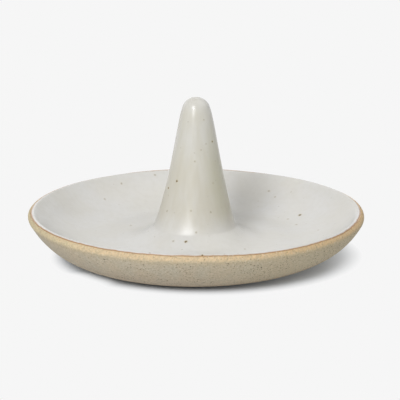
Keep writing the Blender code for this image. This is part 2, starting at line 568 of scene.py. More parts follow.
@dataclass(frozen=True)
class SatinWhiteGlaze(Finish):
    """Tin-white stoneware glaze, dipped and fired to a satin.

    It gives the eye a soft broad gleam, which fine crystals spread at the cone's foot, a tone that warms
    where the glaze lies thin on the cone and is warmer and darker low on it, painted shade down the cone's
    right side, painted light high on the left wall, a painted highlight on the tip, an edge burnt orange on
    the lip, and scattered iron spots.
    """

    name: str = "satin_white_dipped_glaze"
    thick: str = "D5D4D1"
    # Painted light: whiter glaze high on the left wall.
    painted_light_wall: str = "DFDEDA"
    thin: str = "D0CCC0"
    # Warmer and darker low on the cone.
    low_cone_tone: str = "CCC7B8"
    # Thinner coat and painted shade down the cone's right side.
    thinnest_and_shaded: str = "BEBAA0"
    run: str = "C6C0AE"
    crystal: str = "C6C3B9"
    edge: str = "AE8459"
    edge_clay: str = "DEC29A"
    grain: str = "9C927A"
    iron: str = "5A4526"
    iron_halo: str = "B3A377"
    roughness: float = 0.26
    roughness_swing: float = 0.01
    rougher_bare: float = 0.35
    refraction: float = 1.5
    wiped: WipedEdge = WipedEdge()
    steep_inwards: Zone = (26 * MM, 18 * MM)
    steep_upwards: Zone = (9 * MM, 20 * MM)
    # Painted highlight: the coat whitens towards the tip.
    painted_highlight_tip: Zone = (51 * MM, 56 * MM)
    low_downwards: Zone = (44 * MM, 26 * MM)
    painted_light_leftwards: Zone = (-46 * MM, -56 * MM)
    thin_and_shaded_centre: tuple[float, float, float] = (10 * MM, -6 * MM, 31 * MM)
    thin_and_shaded_reach: tuple[float, float, float] = (9.5 * MM, 9.5 * MM, 28 * MM)
    crystals_inwards: Zone = (25 * MM, 19 * MM)
    dark_spots: tuple[IronSpot, ...] = (
        IronSpot(5.7, -4.5, 42.5, 0.34),
        IronSpot(-6.6, -7.3, 28.9, 0.34),
        IronSpot(-9.6, -4.4, 25.6, 0.3),
        IronSpot(-3.5, -16.8, 9.4, 0.42),
        IronSpot(38.6, 24.1, 7.8, 0.5),
        IronSpot(2.2, -58.8, 17.0, 0.3),
        IronSpot(-4.7, 10.0, 24.0, 0.36),
        IronSpot(-38.0, -30.0, 9.5, 0.44),
        IronSpot(-8.0, 44.0, 7.8, 0.36),
    )
    pale_spots: tuple[IronSpot, ...] = (
        IronSpot(-0.3, -8.4, 36.2, 0.3),
        IronSpot(5.9, -7.9, 28.3, 0.36),
        IronSpot(-10.2, -7.5, 18.0, 0.36),
        IronSpot(-1.7, -12.1, 19.3, 0.3),
        IronSpot(5.3, -11.2, 18.6, 0.3),
        IronSpot(2.8, -5.0, 50.4, 0.26),
        IronSpot(3.6, -6.4, 42.1, 0.26),
        IronSpot(-7.9, -15.6, 9.3, 0.38),
        IronSpot(0.1, -14.4, 12.1, 0.3),
        IronSpot(34.1, 23.1, 6.5, 0.4),
        IronSpot(36.9, 16.1, 6.3, 0.4),
        IronSpot(44.1, 4.9, 7.4, 0.3),
        IronSpot(27.8, 44.4, 11.7, 0.4),
        IronSpot(17.2, -15.8, 6.4, 0.3),
        IronSpot(30.0, 40.6, 10.4, 0.34),
        IronSpot(-34.6, 36.7, 10.7, 0.4),
        IronSpot(-24.0, 16.1, 6.0, 0.44),
        IronSpot(-28.6, 46.8, 14.2, 0.36),
        IronSpot(-15.9, 54.0, 15.7, 0.36),
        IronSpot(1.9, -7.6, 40.2, 0.22),
        IronSpot(-15.0, -56.5, 17.2, 0.26),
        IronSpot(4.5, 7.8, 33.5, 0.3),
        IronSpot(0.6, 6.7, 46.0, 0.26),
        IronSpot(-7.0, 4.0, 38.0, 0.32),
        IronSpot(11.1, 4.0, 20.5, 0.32),
        IronSpot(-2.3, 13.2, 15.0, 0.36),
        IronSpot(2.0, 21.0, 7.1, 0.34),
        IronSpot(-12.0, -38.0, 6.5, 0.38),
        IronSpot(21.0, -47.0, 11.1, 0.4),
        IronSpot(6.0, -52.0, 12.1, 0.3),
        IronSpot(44.0, -24.0, 10.2, 0.36),
        IronSpot(12.0, 30.0, 6.0, 0.3),
    )

    def spot_field(self, tree: bpy.types.NodeTree, place: bpy.types.Node,
                   spots: tuple[IronSpot, ...]) -> bpy.types.Node:
        """Measure how near each point of the glaze is to a spot.

        Args:
            tree: Node tree of the material.
            place: Node that gives the point.
            spots: Spots, in millimetres.

        Returns:
            Node whose value is the distance to the nearest spot, over that spot's radius.
        """
        nearest = None
        for spot in spots:
            centre = Vector((spot.x, spot.y, spot.z)) * MM
            away = add_node(tree, "ShaderNodeVectorMath", {0: place, 1: centre}, operation="DISTANCE")
            away = add_node(tree, "ShaderNodeMath", {0: away, 1: spot.radius * MM}, operation="DIVIDE")
            if nearest is not None:
                away = add_node(tree, "ShaderNodeMath", {0: nearest, 1: away}, operation="MINIMUM")
            nearest = away
        return nearest

    def steepness(self, tree: bpy.types.NodeTree, place: bpy.types.NodeSocket,
                  height: bpy.types.NodeSocket) -> bpy.types.Node:
        """Tell the steep cone, off which the dip runs thin, from the floor and the wall.

        Args:
            tree: Node tree of the material.
            place: Object coordinates.
            height: How high they are.

        Returns:
            Node whose value is 1 on the side of the cone, falls off to its tip and is 0 off the cone.
        """
        flat = add_node(tree, "ShaderNodeVectorMath", {0: place, 1: (1, 1, 0)}, operation="MULTIPLY")
        radius = add_node(tree, "ShaderNodeVectorMath", {0: flat}, operation="LENGTH").outputs["Value"]
        steep = add_node(tree, "ShaderNodeMapRange", {"Value": radius, **span(self.steep_inwards)})
        # Painted highlight: towards the tip the coat is drawn whiter, to brighten the tip's gleam.
        for zone, low, high in ((self.steep_upwards, 0.0, 1.0), (self.painted_highlight_tip, 1.0, 0.3)):
            part = add_node(tree, "ShaderNodeMapRange", {
                "Value": height, **span(zone), "To Min": low, "To Max": high},
                interpolation_type="SMOOTHSTEP")
            steep = add_node(tree, "ShaderNodeMath", {0: steep, 1: part}, operation="MULTIPLY")
        return steep

    def coat(self, tree: bpy.types.NodeTree, place: bpy.types.NodeSocket, height: bpy.types.NodeSocket,
             steep: bpy.types.Node) -> bpy.types.Node:
        """Colour the coat by its thickness, which drifts over the pot and is least on the steep cone, warmer
        and darker low on the cone, with painted light high on the left wall.

        Args:
            tree: Node tree of the material.
            place: Object coordinates.
            height: How high they are.
            steep: Share of the steep cone.

        Returns:
            Node whose result is the colour.
        """
        drift = add_node(tree, "ShaderNodeTexNoise", {
            "Vector": place, "Scale": 1 / (16 * MM), "Detail": 2.0, "Roughness": 0.5})
        drift = add_node(tree, "ShaderNodeMapRange", {
            "Value": drift, "From Min": 0.3, "From Max": 0.7, "To Max": 0.4}, interpolation_type="SMOOTHSTEP")
        thinness = add_node(tree, "ShaderNodeMath", {
            0: steep, 1: 0.6, 2: drift}, operation="MULTIPLY_ADD", use_clamp=True)
        # Warmer and darker towards the lower half of the cone.
        low = add_node(tree, "ShaderNodeMapRange", {
            "Value": height, **span(self.low_downwards)}, interpolation_type="SMOOTHSTEP")
        low = add_node(tree, "ShaderNodeMath", {0: low, 1: steep}, operation="MULTIPLY")
        # Painted light: high on the left wall the glaze is drawn whiter, standing in for more light on that
        # wall.
        side = add_node(tree, "ShaderNodeSeparateXYZ", {"Vector": place}).outputs["X"]
        left = add_node(tree, "ShaderNodeMapRange", {
            "Value": side, **span(self.painted_light_leftwards)}, interpolation_type="SMOOTHSTEP")
        thick, thin = (add_node(tree, "ShaderNodeMix", {
            "Factor": factor, "A": linear(usual), "B": linear(extreme)}, data_type="RGBA")
            for factor, usual, extreme in ((left, self.thick, self.painted_light_wall), (low, self.thin, self.low_cone_tone)))
        return add_node(tree, "ShaderNodeMix", {"Factor": thinness, "A": thick, "B": thin}, data_type="RGBA")

    def body(self, tree: bpy.types.NodeTree, place: bpy.types.NodeSocket) -> bpy.types.Node:
        """Colour the glaze by its thickness, the runs of the dip, its crystals and a painted shade down the
        cone's right side.

        Args:
            tree: Node tree of the material.
            place: Object coordinates.

        Returns:
            Node whose result is the colour.
        """
        height = add_node(tree, "ShaderNodeSeparateXYZ", {"Vector": place}).outputs["Z"]
        steep = self.steepness(tree, place, height)
        colour = self.coat(tree, place, height, steep)
        # Runs of the dip down the cone, 2 mm apart.
        upright = add_node(tree, "ShaderNodeMapping", {"Vector": place, "Scale": (1, 1, 0.06)})
        runs = add_node(tree, "ShaderNodeTexNoise", {
            "Vector": upright, "Scale": 1 / (2 * MM), "Detail": 1.0, "Roughness": 0.5})
        runs = add_node(tree, "ShaderNodeMapRange", {
            "Value": runs, "From Min": 0.3, "From Max": 0.7, "To Max": 0.4}, interpolation_type="SMOOTHSTEP")
        # Partly the dip drew off the cone's right side and left a thinner, greener coat; partly it is painted
        # shade, drawn darker on that side.
        away = add_node(tree, "ShaderNodeVectorMath", {0: place, 1: self.thin_and_shaded_centre}, operation="SUBTRACT")
        away = add_node(tree, "ShaderNodeVectorMath", {
            0: away, 1: [1 / reach for reach in self.thin_and_shaded_reach]}, operation="MULTIPLY")
        away = add_node(tree, "ShaderNodeVectorMath", {0: away}, operation="LENGTH").outputs["Value"]
        drawn = add_node(tree, "ShaderNodeMapRange", {
            "Value": away, "From Min": 1.0, "From Max": 0.2, "To Max": 0.65}, interpolation_type="SMOOTHSTEP")
        runs, drawn = (add_node(tree, "ShaderNodeMath", {
            0: share, 1: steep}, operation="MULTIPLY") for share in (runs, drawn))
        # Crystals of the satin, drawn at 2 mm so that they show.
        mottle = add_node(tree, "ShaderNodeTexNoise", {"Vector": place, "Scale": 1 / (2 * MM), "Detail": 2.0})
        mottle = add_node(tree, "ShaderNodeMapRange", {
            "Value": mottle, "From Min": 0.35, "From Max": 0.8, "To Max": 0.22},
            interpolation_type="SMOOTHSTEP")
        for share, code in ((runs, self.run), (drawn, self.thinnest_and_shaded), (mottle, self.crystal)):
            colour = add_node(tree, "ShaderNodeMix", {
                "Factor": share, "A": colour, "B": linear(code)}, data_type="RGBA")
        return colour

    def speckle(self, tree: bpy.types.NodeTree, place: bpy.types.NodeSocket,
                colour: bpy.types.Node) -> bpy.types.Node:
        """Lay the iron over the glaze: fine pale grains at random, then the named spots and their halos.

        Args:
            tree: Node tree of the material.
            place: Object coordinates.
            colour: Node whose result is the colour of the glaze.

        Returns:
            Node whose result is the speckled colour.
        """
        wander = add_node(tree, "ShaderNodeTexNoise", {
            "Vector": place, "Scale": 1 / (0.7 * MM), "Detail": 2.0}).outputs["Color"]
        ragged = add_node(tree, "ShaderNodeVectorMath", {
            0: wander, 1: (0.5 * MM,) * 3, 2: place}, operation="MULTIPLY_ADD")
        ragged = add_node(tree, "ShaderNodeVectorMath", {
            0: ragged, 1: (0.25 * MM,) * 3}, operation="SUBTRACT")
        grains = add_node(tree, "ShaderNodeTexVoronoi", {"Vector": ragged, "Scale": 1 / (2.4 * MM)})
        near = add_node(tree, "ShaderNodeMapRange", {
            "Value": grains.outputs["Distance"], "From Min": 0.14, "From Max": 0.06, "To Max": 0.5})
        lot = add_node(tree, "ShaderNodeSeparateColor", {"Color": grains.outputs["Color"]})
        chosen = add_node(tree, "ShaderNodeMapRange", {"Value": lot, "From Min": 0.55, "From Max": 1.0})
        grain = add_node(tree, "ShaderNodeMath", {0: near, 1: chosen}, operation="MULTIPLY")
        colour = add_node(tree, "ShaderNodeMix", {
            "Factor": grain, "A": colour, "B": linear(self.grain)}, data_type="RGBA")
        for spots, halo, heart in ((self.pale_spots, 0.22, 0.32), (self.dark_spots, 0.6, 0.95)):
            nearness = self.spot_field(tree, ragged, spots)
            for outer, inner, strength, code in ((2.2, 0.9, halo, self.iron_halo),
                                                 (1.2, 0.6, heart, self.iron)):
                share = add_node(tree, "ShaderNodeMapRange", {
                    "Value": nearness, "From Min": outer, "From Max": inner, "To Max": strength},
                    interpolation_type="SMOOTHSTEP")
                colour = add_node(tree, "ShaderNodeMix", {
                    "Factor": share, "A": colour, "B": linear(code)}, data_type="RGBA")
        return colour

    def surface(self, tree: bpy.types.NodeTree, place: bpy.types.NodeSocket) -> bpy.types.Node:
        """Let the glaze pool and draw in over 6 mm, with an orange peel of about 1 mm on top.

        Where it has pooled thick at the cone's foot, crystals a fifth of a millimetre wide spread its gleam.

        Args:
            tree: Node tree of the material.
            place: Object coordinates.

        Returns:
            Node that gives the normal.
        """
        swell, peel, crystals = (add_node(tree, "ShaderNodeTexNoise", {
            "Vector": place, "Scale": 1 / breadth, "Detail": detail})
            for breadth, detail in ((6 * MM, 1.0), (1.1 * MM, 1.0), (0.2 * MM, 0.0)))
        away = add_node(tree, "ShaderNodeVectorMath", {0: place}, operation="LENGTH").outputs["Value"]
        grown = add_node(tree, "ShaderNodeMapRange", {"Value": away, **span(self.crystals_inwards)})
        crystals = add_node(tree, "ShaderNodeMath", {0: crystals, 1: grown}, operation="MULTIPLY")
        bump = add_node(tree, "ShaderNodeBump", {"Height": swell, "Distance": 0.015 * MM})
        bump = add_node(tree, "ShaderNodeBump", {"Height": peel, "Distance": 0.006 * MM, "Normal": bump})
        return add_node(tree, "ShaderNodeBump", {
            "Height": crystals, "Distance": 0.038 * MM, "Normal": bump})

    def shade(self, tree: bpy.types.NodeTree, shader: bpy.types.Node) -> None:
        """Link the colour and the surface of the glaze.

        Args:
            tree: Node tree of the material.
            shader: Its Principled BSDF.
        """
        place = add_node(tree, "ShaderNodeTexCoord").outputs["Object"]
        colour = self.body(tree, place)
        burnt, bare = self.wiped.beyond(tree, place, self.wiped.burnt, self.wiped.bare)
        for share, code in ((burnt, self.edge), (bare, self.edge_clay)):
            colour = add_node(tree, "ShaderNodeMix", {
                "Factor": share, "A": colour, "B": linear(code)}, data_type="RGBA")
        patches = add_node(tree, "ShaderNodeTexNoise", {"Vector": place, "Scale": 1 / (9 * MM), "Detail": 2.0})
        sheen = add_node(tree, "ShaderNodeMapRange", {
            "Value": patches, "To Min": self.roughness - self.roughness_swing,
            "To Max": self.roughness + self.roughness_swing})
        sheen = add_node(tree, "ShaderNodeMath", {
            0: bare, 1: self.rougher_bare, 2: sheen}, operation="MULTIPLY_ADD")
        shader.inputs["IOR"].default_value = self.refraction
        for made, output, target in ((self.speckle(tree, place, colour), "Result", "Base Color"),
                                     (sheen, "Value", "Roughness"),
                                     (self.surface(tree, place), "Normal", "Normal")):
            tree.links.new(made.outputs[output], shader.inputs[target])


@dataclass(frozen=True)
class Grit:
    """Grains in the clay: their mean distance, their radius, and the share of places left empty."""

    spacing: float
    radius: float
    rarity: float


@dataclass(frozen=True)
class BareStoneware(Finish):
    """Buff stoneware, thrown, sponged and left bare.

    It gives the eye a dry, sandy face full of fine dark grog and pits, golden where the flame toasted the
    lip and burnt where the glaze stops.
    """

    name: str = "bare_thrown_stoneware"
    body: str = "C8BCA5"
    rosy: str = "CDBBA0"
    sunned: str = "CCBA98"
    low: str = "D0BAA1"
    toasted: str = "E1C7A0"
    creamy: str = "D6C6A0"
    deep_toast: str = "DABB8E"
    burnt: str = "AE8459"
    grog: str = "514631"
    fumed: str = "CBB68E"
    sand: str = "A6977E"
    quartz: str = "E0D6C0"
    roughness: float = 0.88
    specular: float = 0.3
    quartz_grit: Grit = Grit(0.8 * MM, 0.19 * MM, 0.3)
    coarse_grog: Grit = Grit(1.1 * MM, 0.22 * MM, 0.35)
    fine_grog: Grit = Grit(0.6 * MM, 0.14 * MM, 0.25)
    wiped: WipedEdge = WipedEdge()
    low_downwards: Zone = (11 * MM, 1 * MM)
    sunned_rightwards: Zone = (-15 * MM, 45 * MM)
    toast_waver: float = 2.4 * MM
    toasted_upwards: Zone = (15.65 * MM, 16.85 * MM)
    fumed_upwards: Zone = (13.85 * MM, 16.05 * MM)
    deep_rightwards: Zone = (30 * MM, 75 * MM)
    creamy_leftwards: Zone = (2 * MM, -26 * MM)
    crest_upwards: Zone = (15.9 * MM, 16.2 * MM)
    sponged_upwards: Zone = (13.6 * MM, 15.0 * MM)

    def ground(self, tree: bpy.types.NodeTree, place: bpy.types.NodeSocket,
               height: bpy.types.NodeSocket, side: bpy.types.NodeSocket) -> bpy.types.Node:
        """Colour the clay itself: soft upright patches, browner at the foot and on the flame's side.

        Args:
            tree: Node tree of the material.
            place: Object coordinates.
            height: How high they are.
            side: How far right they are.

        Returns:
            Node whose result is the colour.
        """
        upright = add_node(tree, "ShaderNodeMapping", {"Vector": place, "Scale": (1, 1, 0.3)})
        patches = add_node(tree, "ShaderNodeTexNoise", {
            "Vector": upright, "Scale": 1 / (8 * MM), "Detail": 3.0, "Roughness": 0.6})
        patches = add_node(tree, "ShaderNodeMapRange", {
            "Value": patches, "From Min": 0.38, "From Max": 0.62})
        colour = add_node(tree, "ShaderNodeMix", {
            "Factor": patches, "A": linear(self.body), "B": linear(self.rosy)}, data_type="RGBA")
        for along, zone, most, code in ((height, self.low_downwards, 0.7, self.low),
                                        (side, self.sunned_rightwards, 0.8, self.sunned)):
            share = add_node(tree, "ShaderNodeMapRange", {
                "Value": along, **span(zone), "To Max": most}, interpolation_type="SMOOTHSTEP")
            colour = add_node(tree, "ShaderNodeMix", {
                "Factor": share, "A": colour, "B": linear(code)}, data_type="RGBA")
        return colour

    def toast(self, tree: bpy.types.NodeTree, place: bpy.types.NodeSocket, height: bpy.types.NodeSocket,
              side: bpy.types.NodeSocket, colour: bpy.types.Node) -> bpy.types.Node:
        """Toast the lip down to a wavering line, creamy left and deep right, and burn it at the glaze.

        Args:
            tree: Node tree of the material.
            place: Object coordinates.
            height: How high they are.
            side: How far right they are.
            colour: Node whose result is the colour of the clay.

        Returns:
            Node whose result is the toasted colour.
        """
        waver = add_node(tree, "ShaderNodeTexNoise", {
            "Vector": place, "Scale": 1 / (2.5 * MM), "Detail": 4.0, "Roughness": 0.7})
        level = add_node(tree, "ShaderNodeMath", {
            0: waver, 1: self.toast_waver, 2: height}, operation="MULTIPLY_ADD")
        patch = add_node(tree, "ShaderNodeTexNoise", {
            "Vector": place, "Scale": 1 / (4 * MM), "Detail": 3.0, "Roughness": 0.6})
        patch = add_node(tree, "ShaderNodeMath", {0: patch, 1: 60 * MM, 2: side}, operation="MULTIPLY_ADD")
        # A fainter toast hangs on below the line.
        fumed, toasted, deep, creamy = (add_node(tree, "ShaderNodeMapRange", {
            "Value": along, **span(zone), "To Max": most}, interpolation_type="SMOOTHSTEP")
            for along, zone, most in ((level, self.fumed_upwards, 0.45), (level, self.toasted_upwards, 1.0),
                                      (patch, self.deep_rightwards, 1.0),
                                      (patch, self.creamy_leftwards, 1.0)))
        toast = add_node(tree, "ShaderNodeMix", {
            "Factor": deep, "A": linear(self.toasted), "B": linear(self.deep_toast)}, data_type="RGBA")
        toast = add_node(tree, "ShaderNodeMix", {
            "Factor": creamy, "A": toast, "B": linear(self.creamy)}, data_type="RGBA")
        bare, = self.wiped.beyond(tree, place, self.wiped.bare)
        crest = add_node(tree, "ShaderNodeMapRange", {"Value": height, **span(self.crest_upwards)})
        burnt = add_node(tree, "ShaderNodeMath", {0: 1.0, 1: bare}, operation="SUBTRACT")
        burnt = add_node(tree, "ShaderNodeMath", {0: burnt, 1: crest}, operation="MULTIPLY")
        for share, laid in ((fumed, linear(self.fumed)), (toasted, toast), (burnt, linear(self.burnt))):
            colour = add_node(tree, "ShaderNodeMix", {
                "Factor": share, "A": colour, "B": laid}, data_type="RGBA")
        return colour

    def grains(self, tree: bpy.types.NodeTree, place: bpy.types.NodeSocket,
               grit: Grit) -> bpy.types.Node:
        """Scatter the grains of a grit, with soft edges and some fainter than others.

        Args:
            tree: Node tree of the material.
            place: Object coordinates.
            grit: Grit to scatter.

        Returns:
            Node whose value is 1 in a grain and 0 between grains.
        """
        cells = add_node(tree, "ShaderNodeTexVoronoi", {"Vector": place, "Scale": 1 / grit.spacing})
        near = add_node(tree, "ShaderNodeMapRange", {
            "Value": cells.outputs["Distance"], "From Min": 1.4 * grit.radius / grit.spacing,
            "From Max": 0.6 * grit.radius / grit.spacing})
        lot = add_node(tree, "ShaderNodeSeparateColor", {"Color": cells.outputs["Color"]})
        chosen = add_node(tree, "ShaderNodeMapRange", {
            "Value": lot, "From Min": grit.rarity, "From Max": grit.rarity + 0.25})
        return add_node(tree, "ShaderNodeMath", {0: near, 1: chosen}, operation="MULTIPLY")

    def shade(self, tree: bpy.types.NodeTree, shader: bpy.types.Node) -> None:
        """Link the colour and the surface of the clay.

        Args:
            tree: Node tree of the material.
            shader: Its Principled BSDF.
        """
        place = add_node(tree, "ShaderNodeTexCoord").outputs["Object"]
        sides = add_node(tree, "ShaderNodeSeparateXYZ", {"Vector": place}).outputs
        height, side = sides["Z"], sides["X"]
        colour = self.toast(tree, place, height, side, self.ground(tree, place, height, side))
        sand = add_node(tree, "ShaderNodeTexNoise", {
            "Vector": place, "Scale": 1 / (0.8 * MM), "Detail": 3.0, "Roughness": 0.7})
        sandy = add_node(tree, "ShaderNodeMapRange", {
            "Value": sand, "From Min": 0.35, "From Max": 0.7, "To Max": 0.6})
        wander = add_node(tree, "ShaderNodeTexNoise", {
            "Vector": place, "Scale": 1 / (0.45 * MM), "Detail": 2.0}).outputs["Color"]
        ragged = add_node(tree, "ShaderNodeVectorMath", {
            0: wander, 1: (0.5 * MM,) * 3, 2: place}, operation="MULTIPLY_ADD").outputs["Vector"]
        quartz, coarse, fine = (self.grains(tree, ragged, grit)
                                for grit in (self.quartz_grit, self.coarse_grog, self.fine_grog))
        quartz = add_node(tree, "ShaderNodeMath", {0: quartz, 1: 0.45}, operation="MULTIPLY")
        grog = add_node(tree, "ShaderNodeMath", {0: coarse, 1: fine}, operation="MAXIMUM")
        # The grog lies in drifts. It is densest on the right and thinnest on the sponged lip.
        dense = add_node(tree, "ShaderNodeTexNoise", {"Vector": place, "Scale": 1 / (8 * MM), "Detail": 2.0})
        dense = add_node(tree, "ShaderNodeMath", {0: side, 1: 2.0, 2: dense}, operation="MULTIPLY_ADD")
        dense = add_node(tree, "ShaderNodeMapRange", {
            "Value": dense, "From Min": 0.42, "From Max": 0.62, "To Min": 0.3})
        washed = add_node(tree, "ShaderNodeMapRange", {
            "Value": height, **span(self.sponged_upwards), "To Min": 1.0, "To Max": 0.5})
        shown = grog
        for share in (dense, washed):
            shown = add_node(tree, "ShaderNodeMath", {0: shown, 1: share}, operation="MULTIPLY")
        for share, code in ((sandy, self.sand), (quartz, self.quartz), (shown, self.grog)):
            colour = add_node(tree, "ShaderNodeMix", {
                "Factor": share, "A": colour, "B": linear(code)}, data_type="RGBA")
        tree.links.new(colour.outputs["Result"], shader.inputs["Base Color"])
        shader.inputs["Roughness"].default_value = self.roughness
        shader.inputs["Specular IOR Level"].default_value = self.specular
        bump = add_node(tree, "ShaderNodeBump", {"Height": sand, "Distance": 0.06 * MM})
        bump = add_node(tree, "ShaderNodeBump", {
            "Height": grog, "Distance": 0.05 * MM, "Normal": bump}, invert=True)
        tree.links.new(bump.outputs["Normal"], shader.inputs["Normal"])


@dataclass(frozen=True)
class LutingClay(Finish):
    """Joining clay, wiped smooth with a wet finger and hidden under the glaze.

    It gives the eye, where a pot is opened, a finer and darker clay with the drag of the finger.
    """

    name: str = "wiped_luting_clay"
    wet: str = "A8937A"
    dry: str = "BCA98B"
    roughness: float = 0.92

    def shade(self, tree: bpy.types.NodeTree, shader: bpy.types.Node) -> None:
        """Link the colour and the surface of the joining clay.

        Args:
            tree: Node tree of the material.
            shader: Its Principled BSDF.
        """
        place = add_node(tree, "ShaderNodeTexCoord").outputs["Object"]
        level = add_node(tree, "ShaderNodeMapping", {"Vector": place, "Scale": (0.3, 0.3, 1)})
        drag = add_node(tree, "ShaderNodeTexNoise", {"Vector": level, "Scale": 1 / (1.5 * MM), "Detail": 3.0})
        colour = add_node(tree, "ShaderNodeMix", {
            "Factor": drag, "A": linear(self.wet), "B": linear(self.dry)}, data_type="RGBA")
        tree.links.new(colour.outputs["Result"], shader.inputs["Base Color"])
        shader.inputs["Roughness"].default_value = self.roughness
        bump = add_node(tree, "ShaderNodeBump", {"Height": drag, "Distance": 0.1 * MM})
        tree.links.new(bump.outputs["Normal"], shader.inputs["Normal"])


@dataclass(frozen=True)
class MattPaper(Finish):
    """Matt white paper sweep under the pot.

    It gives the eye the plain pale ground of a studio picture. Away from the pot the camera sees the
    paper's own white. Near the pot it sees the paper as the lamps light it, with the pot's shadow, which
    is full up to one radius and ends at another. Both radii drift sideways, as far as the pot reaches.
    """

    name: str = "matt_white_paper"
    paper: str = "F6F6F6"
    cool: str = "E8F0FA"
    centre: tuple[float, float, float] = (3.2 * MM, 0.0, 0.0)
    squeeze: float = 0.865
    reach: float = 60 * MM
    full_radius: float = 41.0 * MM
    full_drift: float = -0.035
    end_radius: float = 50.1 * MM
    end_drift: float = 0.03
    thin: float = 0.215
    thin_rightwards: Zone = (-8 * MM, 80 * MM)
    thinner: float = 0.25
    thinner_rightwards: Zone = (43 * MM, 57 * MM)
    bright_azimuth: float = -50.0
    bright_facing: Zone = (0.97, 1.0)
    bright_depth: float = 2.0 * MM

    def distance(self, tree: bpy.types.NodeTree, place: bpy.types.NodeSocket) -> bpy.types.Node:
        """Measure how far the paper is from the pot, as the lamps draw the shadow out.

        The shadow is stretched sideways. It is drawn in at the front left and crisper there.

        Args:
            tree: Node tree of the material.
            place: Object coordinates.

        Returns:
            Node whose value is the distance.
        """
        away = add_node(tree, "ShaderNodeVectorMath", {0: place, 1: self.centre}, operation="SUBTRACT")
        away = add_node(tree, "ShaderNodeVectorMath", {
            0: away, 1: (self.squeeze, 1, 0)}, operation="MULTIPLY")
        away = add_node(tree, "ShaderNodeVectorMath", {0: away}, operation="LENGTH").outputs["Value"]
        turn = math.radians(self.bright_azimuth)
        outwards = add_node(tree, "ShaderNodeVectorMath", {0: place}, operation="NORMALIZE")
        facing = add_node(tree, "ShaderNodeVectorMath", {
            0: outwards, 1: (math.sin(turn), -math.cos(turn), 0)}, operation="DOT_PRODUCT").outputs["Value"]
        drawn_in = add_node(tree, "ShaderNodeMapRange", {
            "Value": facing, **span(self.bright_facing), "To Max": self.bright_depth},
            interpolation_type="SMOOTHSTEP")
        return add_node(tree, "ShaderNodeMath", {0: away, 1: drawn_in}, operation="ADD")

    def clear_of_shadow(self, tree: bpy.types.NodeTree, place: bpy.types.NodeSocket) -> bpy.types.Node:
        """Tell where the paper is clear of the pot's shadow, which thins out towards the right.

        Args:
            tree: Node tree of the material.
            place: Object coordinates.

        Returns:
            Node whose value is 0 in the full shadow and 1 clear of it.
        """
        side = add_node(tree, "ShaderNodeSeparateXYZ", {"Vector": place}).outputs["X"]
        full, end = (add_node(tree, "ShaderNodeMath", {
            0: add_node(tree, "ShaderNodeClamp", {"Value": side, "Min": -self.reach, "Max": furthest}),
            1: drift, 2: radius}, operation="MULTIPLY_ADD")
            for furthest, drift, radius in ((0.0, self.full_drift, self.full_radius),
                                            (self.reach, self.end_drift, self.end_radius)))
        clear = add_node(tree, "ShaderNodeMapRange", {
            "Value": self.distance(tree, place), "From Min": full, "From Max": end},
            interpolation_type="SMOOTHSTEP")
        thin, thinner = (add_node(tree, "ShaderNodeMapRange", {
            "Value": side, **span(zone), "To Max": share}, interpolation_type="SMOOTHSTEP")
            for zone, share in ((self.thin_rightwards, self.thin), (self.thinner_rightwards, self.thinner)))
        clear = add_node(tree, "ShaderNodeMath", {0: clear, 1: thin}, operation="ADD", use_clamp=True)
        return add_node(tree, "ShaderNodeMix", {"Factor": thinner, "A": clear, "B": 1.0})

    def shade(self, tree: bpy.types.NodeTree, shader: bpy.types.Node) -> None:
        """Link the lit paper and the paper's own white.

        Args:
            tree: Node tree of the material.
            shader: Its Principled BSDF.
        """
        shader.inputs["Base Color"].default_value = linear(self.cool)
        shader.inputs["Roughness"].default_value = 1.0
        shader.inputs["Specular IOR Level"].default_value = 0.0
        place = add_node(tree, "ShaderNodeTexCoord").outputs["Object"]
        own = add_node(tree, "ShaderNodeMath", {
            0: self.clear_of_shadow(tree, place), 1: seen_plainly(tree)}, operation="MULTIPLY")
        white = add_node(tree, "ShaderNodeEmission", {"Color": linear(self.paper), "Strength": 1.0})
        mixed = add_node(tree, "ShaderNodeMixShader", {0: own, 1: shader, 2: white})
        tree.links.new(mixed.outputs["Shader"], tree.nodes["Material Output"].inputs["Surface"])


